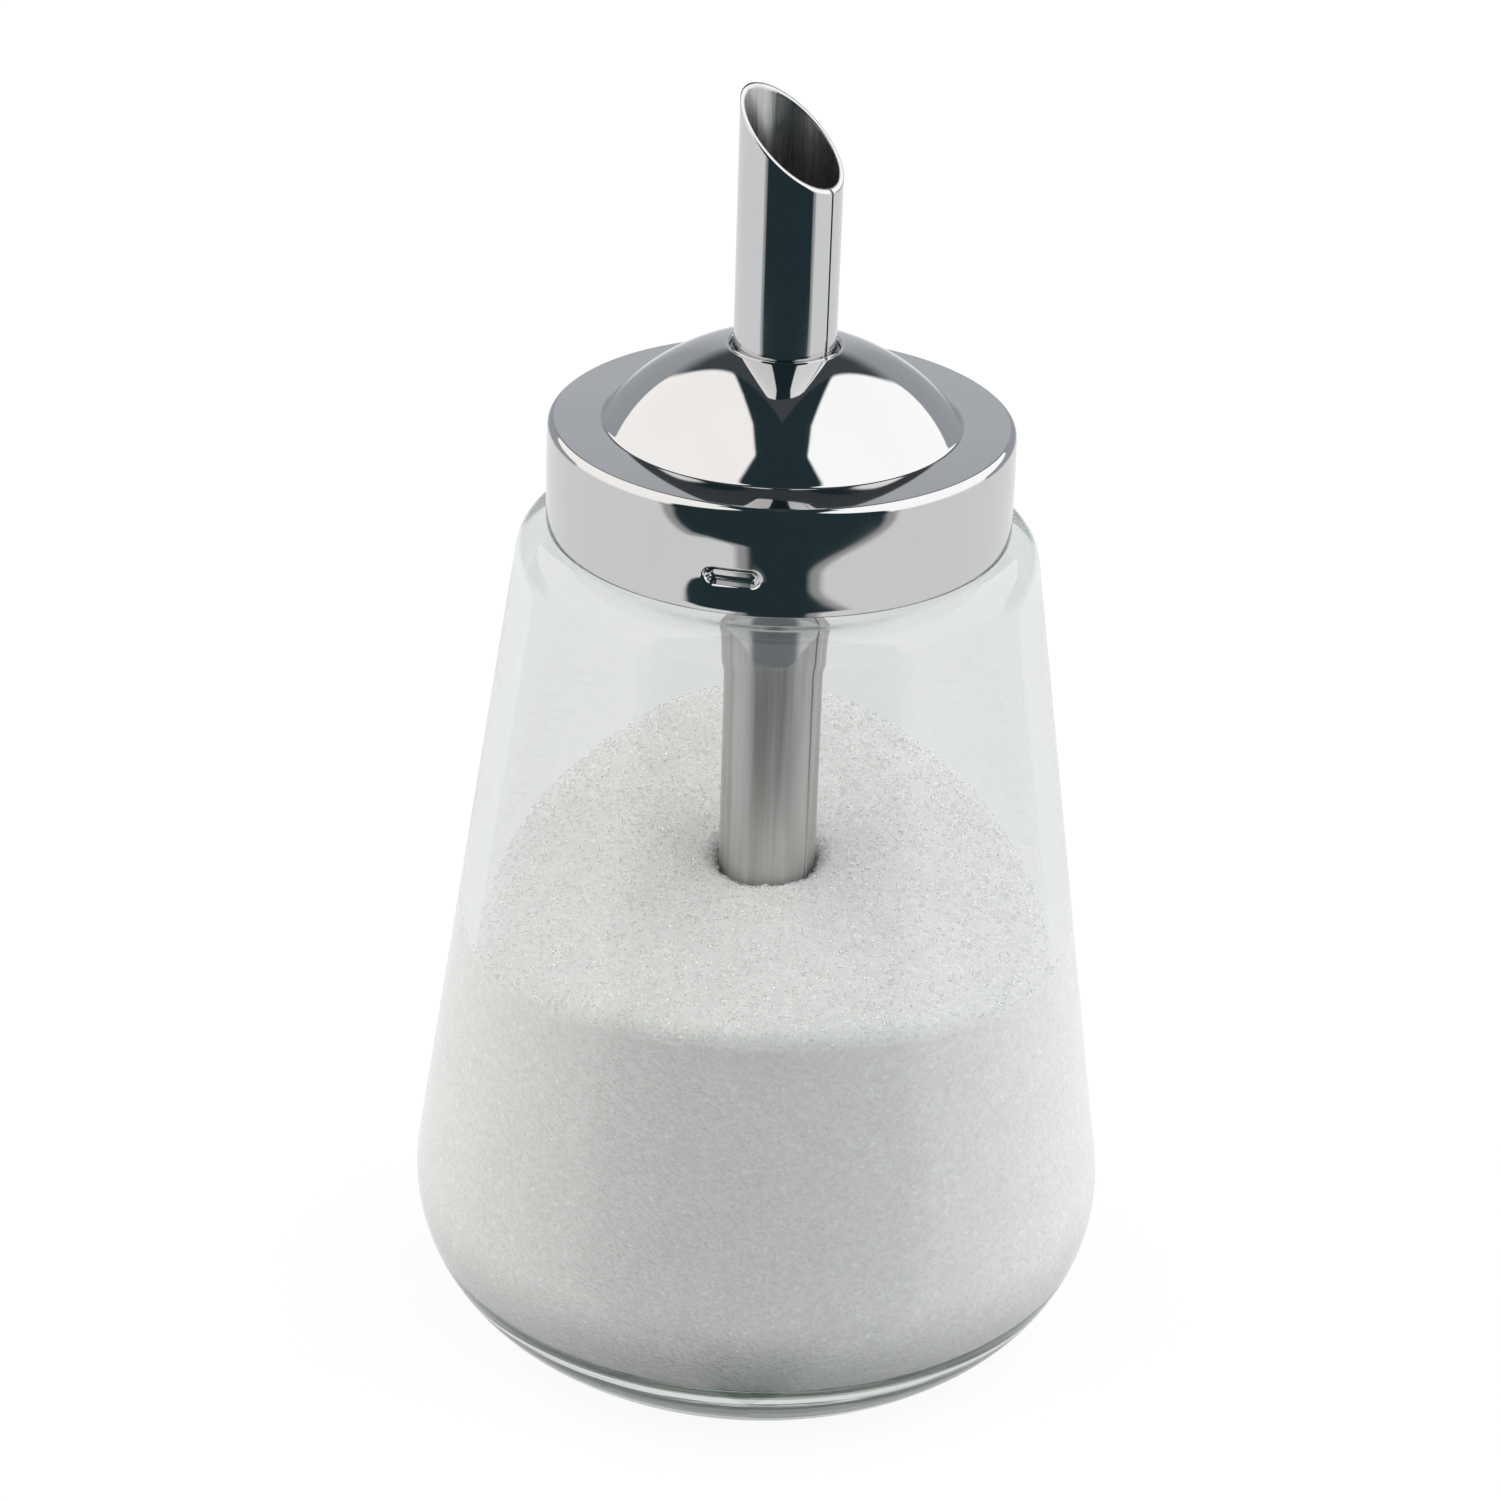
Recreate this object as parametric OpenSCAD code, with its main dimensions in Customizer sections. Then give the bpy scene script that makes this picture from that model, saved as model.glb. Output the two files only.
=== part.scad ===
// Sugar dispenser: a conical glass jar, a drawn steel lug cap with a domed top, and a rolled
// steel tube through the dome that reaches almost to the jar's floor and doses the sugar.
// Millimetres. +Z is up, the origin is the centre of the jar's base, -Y is the front.

/* [Glass jar] */
// Widest diameter of the jar, at its heel
jar_d = 80; // [72:1:90]
// Diameter that the cone would have at the height of the ledge
shoulder_d = 55.6; // [54:0.2:60]
// Height of the ledge under the cap
ledge_h = 96.8; // [85:0.2:115]
// Radius of the round heel
heel_r = 16.5; // [12:0.5:19]
// How far the heel's circle would reach below the base, which cuts it off
heel_sink = 1.5; // [0.5:0.1:3]
// Radius of the small edge where the heel meets the base
edge_r = 3; // [1:0.5:5]
// Radius of the round shoulder
shoulder_r = 4.2; // [2:0.2:6]
// Thickness of the glass in the cone
wall_t = 2.8; // [2:0.1:4]
// Thickness of the glass in the floor
floor_t = 5; // [3.5:0.1:8]
// Radius inside the heel
heel_in_r = 11; // [6:0.5:16]
// Radius inside the shoulder
shoulder_in_r = 3; // [1:0.2:5]
// Radius of the glass edge where the shoulder runs into the neck's bore
throat_r = 1.5; // [0.5:0.1:2.5]
// Diameter of the shallow push-up under the base
push_up_d = 48; // [30:1:52]
// Depth of the push-up at its middle
push_up_h = 1.2; // [0.6:0.1:2]

/* [Neck] */
// Outer diameter of the neck
neck_d = 45.2; // [44:0.1:46]
// Thickness of the glass in the neck
neck_t = 2.8; // [2:0.1:3.6]
// Height of the neck above the ledge
neck_h = 10.15; // [9:0.05:14]
// Radius of the rounded rim
rim_r = 1.2; // [0.6:0.1:1.3]
// Radius of the fillet between the ledge and the neck
neck_fillet = 0.8; // [0.3:0.1:1]
// How far a ridge stands out of the neck
ridge_out = 1.4; // [1:0.1:1.7]
// Thickness of a ridge along the neck
ridge_t = 1.5; // [1:0.1:2]
// Angle that a ridge spans round the neck
ridge_span = 78; // [60:1:85]
// Slope of a ridge, which draws the cap down as it is turned
ridge_slope = 3.5; // [2:0.1:5]

/* [Cap] */
// Outer diameter of the cap's skirt
cap_d = 50.2; // [49.6:0.1:51]
// Thickness of the drawn steel sheet
sheet_t = 0.5; // [0.4:0.05:0.7]
// Gap between the ledge and the skirt's lower edge
skirt_gap = 0.15; // [0.1:0.05:1]
// Radius of the skirt's rounded top edge
brow_r = 1.2; // [0.8:0.1:3]
// Radius of the dome
dome_r = 24.6; // [22:0.1:30]
// Height of the whole dome above the flat ring
dome_h = 9.15; // [6:0.05:11]
// Radius of the hollow between the ring and the dome
dome_fillet = 2; // [0.8:0.1:3]
// Number of lugs pressed into the skirt
lug_count = 3; // [2:1:3]
// Length of a lug round the skirt
lug_w = 6.2; // [4:0.1:8]
// Height of a lug
lug_t = 2.2; // [1.6:0.1:2.6]
// How deep a lug is pressed in
lug_in = 1.2; // [0.9:0.05:1.5]
// Height of a lug's middle above the skirt's lower edge
lug_h = 3.95; // [2.8:0.05:4.5]
// Bearing of the front lug, anticlockwise from +X
lug_az = -101; // [-180:1:180]

/* [Seal] */
// Thickness of the sealing ring
seal_t = 1.2; // [0.8:0.1:2]
// Gap between the sealing ring and the cap's rounded corner
seal_gap = 0.3; // [0.1:0.1:1]

/* [Dosing tube] */
// Outer diameter of the tube
tube_d = 10.9; // [8:0.1:14]
// Wall of the tube
tube_t = 0.5; // [0.4:0.05:0.8]
// Height of the mouth's middle above the flat ring
mouth_h = 30.8; // [20:0.2:50]
// Slant of the mouth from level
mouth_tilt = 40.7; // [0:0.1:55]
// Bearing of the mouth's high side
mouth_az = 148; // [-180:1:180]
// Gap between the tube's lower end and the glass floor, which sets the dose
dose_gap = 11; // [6:0.5:20]
// Clearance between the tube and the hole in the dome
hole_gap = 0.3; // [0.1:0.05:0.6]
// How far the swaged bead stands out of the tube, under the dome
bead_r = 1; // [1:0.1:1.5]
// Width of the butt seam along the tube
seam_w = 0.2; // [0.1:0.05:0.4]
// Bearing of the seam
seam_az = -38; // [-180:1:180]

/* [Sugar] */
// Height of the sugar's surface at the jar's axis, before the dip is made in it
sugar_h = 57.2; // [30:0.2:75]
// Slope of the sugar's surface
sugar_tilt = 9.5; // [0:0.5:14]
// Bearing of the side where the sugar lies high
sugar_az = 92; // [-180:1:180]
// Radius to which the surface is rounded, across its slope
crown_r = 85; // [60:1:200]
// Radius of the round heap that leans on the glass at the high side
heap_r = 45; // [30:1:80]
// How far the heap stands out of the surface
heap_h = 1.2; // [0.5:0.1:3]
// Distance from the jar's axis to the heap's middle, along the slope
heap_way = 28; // [0:1:32]
// Radius of the dip round the tube
dip_r = 14; // [10:0.5:18]
// Depth that the dip would have at the axis, inside the tube
dip_h = 1.4; // [0.5:0.1:3]
// Air gap between the sugar and what it lies against
sugar_gap = 0.3; // [0.2:0.05:0.5]

/* [Hidden] */
$fn = 96;

// An overshoot for cutters, and a length past every piece
over = 1;
far = 2 * (jar_d + ledge_h);

// Running clearance between a lug and the ridge that holds it
lug_gap = 0.1;

// The jar's cone: a line from the ledge's corner, tangent to the heel circle, whose outward
// normal points cone_a above level
heel_h = heel_r - heel_sink;
heel_c = [jar_d / 2 - heel_r, heel_h];
ledge_p = [shoulder_d / 2, ledge_h];
heel_to_ledge = ledge_p - heel_c;
cone_a = atan2(heel_to_ledge[1], heel_to_ledge[0]) - acos(heel_r / norm(heel_to_ledge));
cone_n = [cos(cone_a), sin(cone_a)];

// The edge circle touches the base and lies inside the heel circle
edge_a = asin((heel_h - edge_r) / (heel_r - edge_r));
edge_c = heel_c + (heel_r - edge_r) * [cos(edge_a), -sin(edge_a)];

// The rim, the cap's ring and the dome, from the ledge up
rim_h = ledge_h + neck_h;
rim_round = min(rim_r, neck_t / 2);
ring_h = rim_h + seal_t + sheet_t;
skirt_h = ledge_h + skirt_gap;
dome_c = [0, ring_h + dome_h - dome_r];
hollow_h = ring_h + dome_fillet;
hollow_c = [sqrt(pow(dome_r + dome_fillet, 2) - pow(hollow_h - dome_c[1], 2)), hollow_h];

neck_r = neck_d / 2;
bore_r = neck_r - neck_t;
cap_r = cap_d / 2;
skirt_in_r = cap_r - sheet_t;
tube_r = tube_d / 2;
tube_end_h = floor_t + dose_gap;
hole_r = tube_r + hole_gap;

// The bead lies against the inside of the dome
bead_gap = 0.1;
groove_r = bead_r - tube_t;
bead_reach = dome_r - sheet_t - bead_r - bead_gap;
bead_c = [tube_r, dome_c[1] + sqrt(pow(bead_reach, 2) - pow(tube_r, 2))];

// A lug's solid is wider than its dent by its drawn wall, and passes under the ridge. Drawing
// the lug thins the sheet there to thinning of its thickness.
thinning = 0.8;
lug_pitch = 360 / lug_count;
lug_z = skirt_h + lug_h;
lug_tip_r = skirt_in_r - lug_in;
lug_out = thinning * sheet_t;
lug_top_h = lug_z + lug_t / 2 + lug_out;
lug_half_w = lug_w / 2 + lug_out;
ridge_mid_h = lug_top_h + lug_gap + lug_half_w * tan(ridge_slope) + ridge_t / 2;

// The push-up is part of a large ball, which needs more facets than the small circles
push_up_r = (pow(push_up_d / 2, 2) + pow(push_up_h, 2)) / (2 * push_up_h);
push_up_fn = 720;

// Radius of the centre of a circle of radius r at height z that lies inside the cone's line,
// with the line moved inwards by inset
function in_cone(z, r, inset = 0) =
    ledge_p[0] - (inset + r + (z - ledge_p[1]) * cone_n[1]) / cone_n[0];

function at(c, r, a) = c + r * [cos(a), sin(a)];

// The part of a circle between two bearings, with its centre
module sector(c, r, from, to) {
    intersection() {
        translate(c) circle(r = r);
        polygon([c, at(c, 2 * r, from), at(c, 2 * r, (from + to) / 2), at(c, 2 * r, to)]);
    }
}

// Outline of the jar's body up to the ledge
module jar_outline() {
    top_z = ledge_h - shoulder_r;
    top_c = [in_cone(top_z, shoulder_r), top_z];
    polygon([
        [0, 0], [edge_c[0], 0], at(heel_c, heel_r, -edge_a), at(heel_c, heel_r, cone_a),
        at(top_c, shoulder_r, cone_a), [top_c[0], ledge_h], [0, ledge_h]
    ]);
    sector(edge_c, edge_r, -90, -edge_a);
    sector(heel_c, heel_r, -edge_a, cone_a);
    sector(top_c, shoulder_r, cone_a, 90);
}

// Outline of the space inside the jar's body; gap keeps a filling clear of the glass
module room_outline(gap = 0) {
    low = floor_t + gap;
    high = ledge_h - wall_t - gap;
    low_r = heel_in_r - gap;
    high_r = shoulder_in_r - gap;
    low_c = [in_cone(low + low_r, low_r, wall_t + gap), low + low_r];
    high_c = [in_cone(high - high_r, high_r, wall_t + gap), high - high_r];
    polygon([
        [0, low], [low_c[0], low], at(low_c, low_r, cone_a),
        at(high_c, high_r, cone_a), [high_c[0], high], [0, high]
    ]);
    sector(low_c, low_r, -90, cone_a);
    sector(high_c, high_r, cone_a, 90);
}

// Outline of the neck, with its rounded rim and the fillet at its foot
module neck_outline() {
    difference() {
        translate([0, ledge_h - over]) square([neck_r, neck_h + over]);
        translate([neck_r - rim_round, rim_h - rim_round]) square(rim_round + over);
        translate([bore_r - over, rim_h - rim_round]) square(rim_round + over);
    }
    for (r = [neck_r - rim_round, bore_r + rim_round])
        translate([r, rim_h - rim_round]) circle(r = rim_round);
    difference() {
        translate([neck_r - over, ledge_h - over]) square(neck_fillet + over);
        translate([neck_r, ledge_h] + [neck_fillet, neck_fillet]) circle(r = neck_fillet);
    }
}

// Outline of the way out of the jar: the neck's bore, opening with a round edge below
module bore_outline() {
    low = ledge_h - wall_t;
    translate([0, low - over]) square([bore_r, neck_h + wall_t + 2 * over]);
    difference() {
        translate([bore_r - over, low - over]) square(throat_r + over);
        translate([bore_r, low] + [throat_r, throat_r]) circle(r = throat_r);
    }
}

// One sloping ridge, its middle on the +X axis
module ridge() {
    intersection() {
        rotate([0, 0, -ridge_span / 2])
            rotate_extrude(angle = ridge_span)
                translate([neck_r - over, ledge_h]) square([ridge_out + over, neck_h]);
        translate([neck_r, 0, ridge_mid_h]) rotate([ridge_slope, 0, 0])
            cube([far, far, ridge_t], center = true);
    }
}

// Blown and pressed glass: the body, the neck and the ridges that hold the cap's lugs
module glass_jar() {
    color("lightcyan") {
        rotate_extrude()
            difference() {
                union() {
                    jar_outline();
                    neck_outline();
                }
                room_outline();
                bore_outline();
                translate([0, push_up_h - push_up_r]) circle(r = push_up_r, $fn = push_up_fn);
            }
        for (i = [0 : lug_count - 1])
            rotate([0, 0, lug_az + (i + 0.5) * lug_pitch]) ridge();
    }
}

// Places its children on the sugar's surface at the jar's axis, with +X up the slope
module on_bed() {
    translate([0, 0, sugar_h]) rotate([0, 0, sugar_az]) rotate([0, -sugar_tilt, 0]) children();
}

// Fine sugar, rounded off and higher at the back, where a heap leans on the glass. The tube
// stands in a hole in the middle of a shallow dip.
module sugar_fill() {
    color("white")
        difference() {
            intersection() {
                rotate_extrude() room_outline(sugar_gap);
                on_bed() {
                    translate([0, 0, -crown_r]) rotate([0, 90, 0])
                        cylinder(r = crown_r, h = far, center = true);
                    translate([heap_way, 0, heap_h - heap_r]) sphere(r = heap_r);
                }
            }
            on_bed() translate([0, 0, -dip_h]) cylinder(r1 = 0, r2 = 2 * dip_r, h = 2 * dip_h);
            translate([0, 0, tube_end_h - sugar_gap])
                cylinder(r = tube_r + sugar_gap, h = far);
        }
}

// Flat plastic ring between the glass rim and the cap
module sealing_ring() {
    color("whitesmoke")
        translate([0, 0, rim_h])
            difference() {
                cylinder(r = cap_r - brow_r - seal_gap, h = seal_t);
                translate([0, 0, -over]) cylinder(r = bore_r, h = seal_t + 2 * over);
            }
}

// Outline of the cap as a solid, with its surface moved inwards by inset
module cap_outline(inset = 0) {
    r = cap_r - inset;
    top = ring_h - inset;
    brow = brow_r - inset;
    foot = inset > 0 ? skirt_h - over : skirt_h;
    hollow_a = atan2(hollow_c[1] - dome_c[1], hollow_c[0]);
    polygon([[0, foot], [r, foot], [r, top - brow], [r - brow, top], [0, top]]);
    translate([r - brow, top - brow]) circle(r = brow);
    difference() {
        polygon([
            dome_c, [hollow_c[0], dome_c[1]], hollow_c,
            at(dome_c, dome_r - inset, hollow_a), at(dome_c, dome_r - inset, (hollow_a + 90) / 2)
        ]);
        translate(hollow_c) circle(r = dome_fillet + inset);
    }
    sector(dome_c, dome_r - inset, hollow_a, 90);
}

// A lug's oblong shape, standing radially from from_r to to_r, at the bearing of +X
module lug_shape(w, t, from_r, to_r) {
    translate([from_r, 0, lug_z]) rotate([90, 0, 90])
        linear_extrude(height = to_r - from_r) {
            square([w - t, t], center = true);
            for (side = [-1, 1]) translate([side * (w - t) / 2, 0]) circle(d = t);
        }
}

// One drawn sheet: skirt, flat ring and dome, with the tube's hole and the pressed lugs
module cap_shell() {
    color("silver")
        difference() {
            union() {
                rotate_extrude()
                    difference() {
                        cap_outline();
                        cap_outline(sheet_t);
                        translate([0, dome_c[1]]) square([hole_r, dome_r + over]);
                    }
                intersection() {
                    each_lug() lug_shape(lug_w + 2 * lug_out, lug_t + 2 * lug_out, lug_tip_r, cap_r);
                    cylinder(r = cap_r - sheet_t / 2, h = ring_h);
                }
            }
            each_lug() lug_shape(lug_w, lug_t, lug_tip_r + sheet_t, cap_r + over);
        }
}

module each_lug() {
    for (i = [0 : lug_count - 1])
        rotate([0, 0, lug_az + i * lug_pitch]) children();
}

// Rolled steel sheet with an open butt seam, a slanted mouth and a swaged bead
module dosing_tube() {
    color("silver")
        difference() {
            rotate_extrude()
                difference() {
                    union() {
                        translate([tube_r - tube_t, tube_end_h])
                            square([tube_t, ring_h + mouth_h + tube_d - tube_end_h]);
                        translate(bead_c) circle(r = bead_r);
                    }
                    translate(bead_c) circle(r = groove_r);
                    translate([0, bead_c[1] - groove_r]) square([bead_c[0], 2 * groove_r]);
                    translate([0, bead_c[1] - 2 * bead_r])
                        square([tube_r - tube_t, 4 * bead_r]);
                }
            translate([0, 0, ring_h + mouth_h]) rotate([0, 0, mouth_az])
                rotate([0, -mouth_tilt, 0]) translate([-far / 2, -far / 2, 0]) cube(far);
            rotate([0, 0, seam_az]) translate([0, -seam_w / 2, 0])
                cube([tube_d, seam_w, far]);
        }
}

glass_jar();
sugar_fill();
sealing_ring();
cap_shell();
dosing_tube();
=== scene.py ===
# Sugar dispenser: a conical glass jar of sugar under a mirror-polished steel cap, with a rolled
# steel dosing tube through its dome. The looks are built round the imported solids. Lengths are in
# millimetres, and each mesh is scaled to metres as it is made, with its place in its vertices.
# Materials read places in metres, so the lengths in them are multiplied by mm.
from math import acos, asin, atan2, cos, degrees, hypot, pi, radians, sin, sqrt, tan

import bmesh
import bpy
import numpy as np
from mathutils import Matrix, Vector


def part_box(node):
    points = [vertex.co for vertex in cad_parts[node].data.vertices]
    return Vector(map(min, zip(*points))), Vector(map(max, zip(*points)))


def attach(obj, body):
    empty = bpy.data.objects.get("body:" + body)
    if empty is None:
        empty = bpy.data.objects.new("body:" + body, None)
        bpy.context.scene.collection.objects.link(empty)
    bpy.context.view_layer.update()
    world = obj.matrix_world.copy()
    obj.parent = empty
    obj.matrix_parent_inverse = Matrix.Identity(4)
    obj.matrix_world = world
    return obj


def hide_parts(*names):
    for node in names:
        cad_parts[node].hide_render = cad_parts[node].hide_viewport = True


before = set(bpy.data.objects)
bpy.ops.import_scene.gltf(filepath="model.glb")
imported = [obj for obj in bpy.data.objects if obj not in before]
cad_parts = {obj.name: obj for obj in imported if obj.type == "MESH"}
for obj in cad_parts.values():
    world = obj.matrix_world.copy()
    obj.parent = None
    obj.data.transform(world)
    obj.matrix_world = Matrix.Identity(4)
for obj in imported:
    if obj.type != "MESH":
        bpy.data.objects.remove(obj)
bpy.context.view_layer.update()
scene = bpy.context.scene
mm = 0.001

# The camera stands where the photograph was taken from: 43 cm from the jar's base with a long lens,
# looking 27 degrees down, rolled a little, so that the jar leans to the right in the picture.
picture_px = 1500
focal_px = 3517
film_width = 36
near_clip = 10
eye = Vector((-2.3, -347.6, 249.3)) * mm
look_down = radians(27.44)
roll = radians(1.85)

lens = bpy.data.cameras.new("camera")
lens.sensor_width = film_width
lens.lens = film_width * focal_px / picture_px
lens.clip_start = near_clip * mm
camera = bpy.data.objects.new("camera", lens)
backwards = Vector((0, -cos(look_down), sin(look_down)))
level = Matrix(((1, 0, 0), (0, sin(look_down), cos(look_down)), backwards)).transposed()
camera.matrix_world = Matrix.Translation(eye) @ (level @ Matrix.Rotation(roll, 3, "Z")).to_4x4()
scene.collection.objects.link(camera)
scene.camera = camera
scene.view_settings.view_transform = "Standard"


# The studio is a white tent with a dark slit: two tall white walls, left and right, that lean in
# overhead, a dark gap between them over the jar and in front, where the camera looks in, and a
# grey cove behind that darkens upwards. Metal mirrors all of it, and the eye sees plain white.
class Value:
    """One output of a node. Arithmetic on it adds Math nodes to its tree."""

    def __init__(self, tree, node, output=0):
        self.tree, self.node, self.output = tree, node, output

    def __getitem__(self, output):
        return Value(self.tree, self.node, output)

    def math(self, operation, *others):
        return self.tree.node("Math", {"operation": operation}, dict(enumerate([self, *others])))

    def __add__(self, other):
        return self.math("ADD", other)

    def __mul__(self, other):
        return self.math("MULTIPLY", other)

    def __sub__(self, other):
        return self.math("SUBTRACT", other)

    def __rsub__(self, other):
        return self.tree.node("Math", {"operation": "SUBTRACT"}, {0: other, 1: self})

    __radd__ = __add__
    __rmul__ = __mul__


class Tree:
    """The nodes of a material or of the world."""

    def __init__(self, owner):
        owner.use_nodes = True
        self.nodes, self.links = owner.node_tree.nodes, owner.node_tree.links
        self.nodes.clear()

    def node(self, kind, settings=None, sockets=None):
        """Adds a node. Its settings are set first, then its sockets get their values or links."""
        node = self.nodes.new("ShaderNode" + kind)
        for key, value in (settings or {}).items():
            setattr(node, key, value)
        for key, value in (sockets or {}).items():
            if isinstance(value, Value):
                self.links.new(value.node.outputs[value.output], node.inputs[key])
            else:
                node.inputs[key].default_value = value
        return Value(self, node)

    def step(self, value, low, high, start=0, end=1):
        """Runs smoothly from start to end while value runs from low to high."""
        smooth = {"interpolation_type": "SMOOTHSTEP"}
        ends = {0: value, 1: low, 2: high, 3: start, 4: end}
        return self.node("MapRange", smooth, ends)

    def mix(self, share, first, second):
        """A colour between two, as far along as share says."""
        return self.node("Mix", {"data_type": "RGBA"}, {0: share, 6: first, 7: second})[2]


# Places in the tent are parts of a direction of length 1: its height, its distance from the
# middle plane, and its bearing in radians, counted from the front. A blur is half an edge's width.
slit_foot, slit_middle, slit_top = radians(15), radians(52), radians(34)
slit_widens, slit_narrows, slit_blur = (-0.415, -0.35), (0.30, 0.90), 0.04
gap_lean, gap_spread, gap_blur = 0.215, 0.17, 0.012
cove_foot, cove_middle, cove_spread = radians(112), radians(150), radians(6)
cove_narrows, cove_ends, cove_blur = (0.10, 0.42), (0.45, 0.80), 0.03
left_wall = (1.36, 1.32, 1.29, 1)
right_wall = (1.50, 1.49, 1.50, 1)
wall_blur, wall_foot = 0.1, (-0.20, 0.20)
slit_colour = (0.022, 0.042, 0.050, 1)
table_colour = (0.90, 0.90, 0.91, 1)
half_lit, half_lit_edge = 0.45, (0.06, 0.15)
cove_low = (0.58, 0.60, 0.63, 1)
cove_side = (0.42, 0.44, 0.47, 1)
cove_high = (0.07, 0.08, 0.09, 1)
cove_turns, cove_darkens, cove_meets_table = (0.10, 0.30), (0.35, 0.55), (-0.25, -0.08)
plain_white = (1, 1, 1, 1)
daylight = 1.63

world = bpy.data.worlds.new("studio")
scene.world = world
sky = Tree(world)
ray = sky.node("LightPath")
way = sky.node("SeparateXYZ", None, {0: sky.node("TexCoord")["Generated"]})
across = way["X"].math("ABSOLUTE")
height = way["Z"]
bearing = across.math("ARCTAN2", way["Y"] * -1)
slit = sky.step(height, *slit_widens, slit_foot, slit_middle)
slit = slit - sky.step(height, *slit_narrows, 0, slit_middle - slit_top)
beside_slit = sky.step(bearing - slit, -slit_blur, slit_blur)
gap = height * gap_lean + way["Y"].math("MAXIMUM", 0) * gap_spread
beside_gap = sky.step(across - gap, -gap_blur, gap_blur)
corner = sky.step(height, *cove_narrows, cove_foot, cove_middle)
corner = corner + sky.step(height, *cove_ends, 0, cove_spread)
behind = sky.step(bearing - corner, -cove_blur, cove_blur)
near_slit = sky.step(bearing - slit, *half_lit_edge, half_lit, 1)
floor = sky.node("VectorMath", {"operation": "SCALE"}, {0: table_colour[:3], "Scale": near_slit})
wall = sky.mix(sky.step(way["X"], -wall_blur, wall_blur), left_wall, right_wall)
wall = sky.mix(sky.step(height, *wall_foot), floor, wall)
cove = sky.mix(sky.step(across, *cove_turns), cove_low, cove_side)
cove = sky.mix(sky.step(height, *cove_darkens), cove, cove_high)
cove = sky.mix(sky.step(height, *cove_meets_table), table_colour, cove)
tent = sky.mix(beside_slit * beside_gap, slit_colour, wall)
tent = sky.mix(behind, tent, cove)
room = sky.node("Background", None, {0: tent, 1: daylight - ray["Is Glossy Ray"] * (daylight - 1)})
seen = sky.node("Background", None, {0: plain_white})
plain = ray["Is Camera Ray"].math("MAXIMUM", ray["Is Transmission Ray"])
sky.node("OutputWorld", None, {0: sky.node("MixShader", None, {0: plain, 1: room, 2: seen})})

# The table is a pale board. It glows enough to look white where nothing shades it, as a bright
# tent's floor does in a photograph, and keeps a faint shadow round the jar. Through the glass it
# shows a painted greenish shade close to the jar, and farther out a painted dark, standing for the
# slit's reflection, where rays run towards the front.
table_half = 4000
board_grey = (0.50, 0.50, 0.51, 1)
# Painted shade and painted dark, seen only through the glass: a greenish ring round the jar, and the slit's
# dark on rays that run to the front.
painted_jar_shade, shade_edge = (0.52, 0.56, 0.49, 1), (50 * mm, 110 * mm)
painted_slit_dark, front_edge = (0.12, 0.14, 0.15, 1), (0.70, 1.10)
glow_strength, shadow_share = 1.13, 0.20

board = bpy.data.meshes.new("table")
corners = [(-1, -1, 0), (1, -1, 0), (1, 1, 0), (-1, 1, 0)]
board.from_pydata([Vector(c) * table_half * mm for c in corners], [], [(0, 1, 2, 3)])
table = bpy.data.objects.new("table", board)
scene.collection.objects.link(table)
table.visible_glossy = False
board.materials.append(bpy.data.materials.new("pale_board"))
paint = Tree(board.materials[0])
ray = paint.node("LightPath")
travel = paint.node("SeparateXYZ", None, {0: paint.node("NewGeometry")["Incoming"]})
off_front = travel["X"].math("ABSOLUTE").math("ARCTAN2", travel["Y"])
spot = paint.node("TexCoord")["Object"]
from_axis = paint.node("VectorMath", {"operation": "LENGTH"}, {0: spot})["Value"]
# Painted light: dark where rays run to the front, then the painted greenish shade near the jar.
through_glass = paint.mix(paint.step(off_front, *front_edge), painted_slit_dark, plain_white)
through_glass = paint.mix(paint.step(from_axis, *shade_edge), painted_jar_shade, through_glass)
tone = paint.mix(ray["Is Camera Ray"], through_glass, plain_white)
glow = paint.node("Emission", None, {0: tone, 1: glow_strength})
shaded = paint.node("BsdfDiffuse", None, {0: board_grey})
white = paint.node("MixShader", None, {0: shadow_share, 1: glow, 2: shaded})
seen = ray["Is Camera Ray"].math("MAXIMUM", ray["Is Transmission Ray"])
paint.node("OutputMaterial", None, {0: paint.node("MixShader", None, {0: seen, 1: shaded, 2: white})})


# glass_jar: soda-lime glass, blown in a mould: a cone with a round heel, a thick floor with a
# push-up under it, and a pressed neck with three sloping ridges that the cap's lugs catch.
def arc(centre, radius, start, end, steps=16):
    """Points round a circle in the (radius, height) plane, between two bearings in degrees."""
    turns = np.radians(np.linspace(start, end, steps + 1))
    return [(centre[0] + radius * cos(t), centre[1] + radius * sin(t)) for t in turns]


def line(start, end, steps):
    """Points inside a straight stretch, closer together at both ends."""
    shares = [(1 - cos(pi * i / steps)) / 2 for i in range(1, steps)]
    return [(start[0] + (end[0] - start[0]) * s, start[1] + (end[1] - start[1]) * s) for s in shares]


weld = 1e-4


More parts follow.
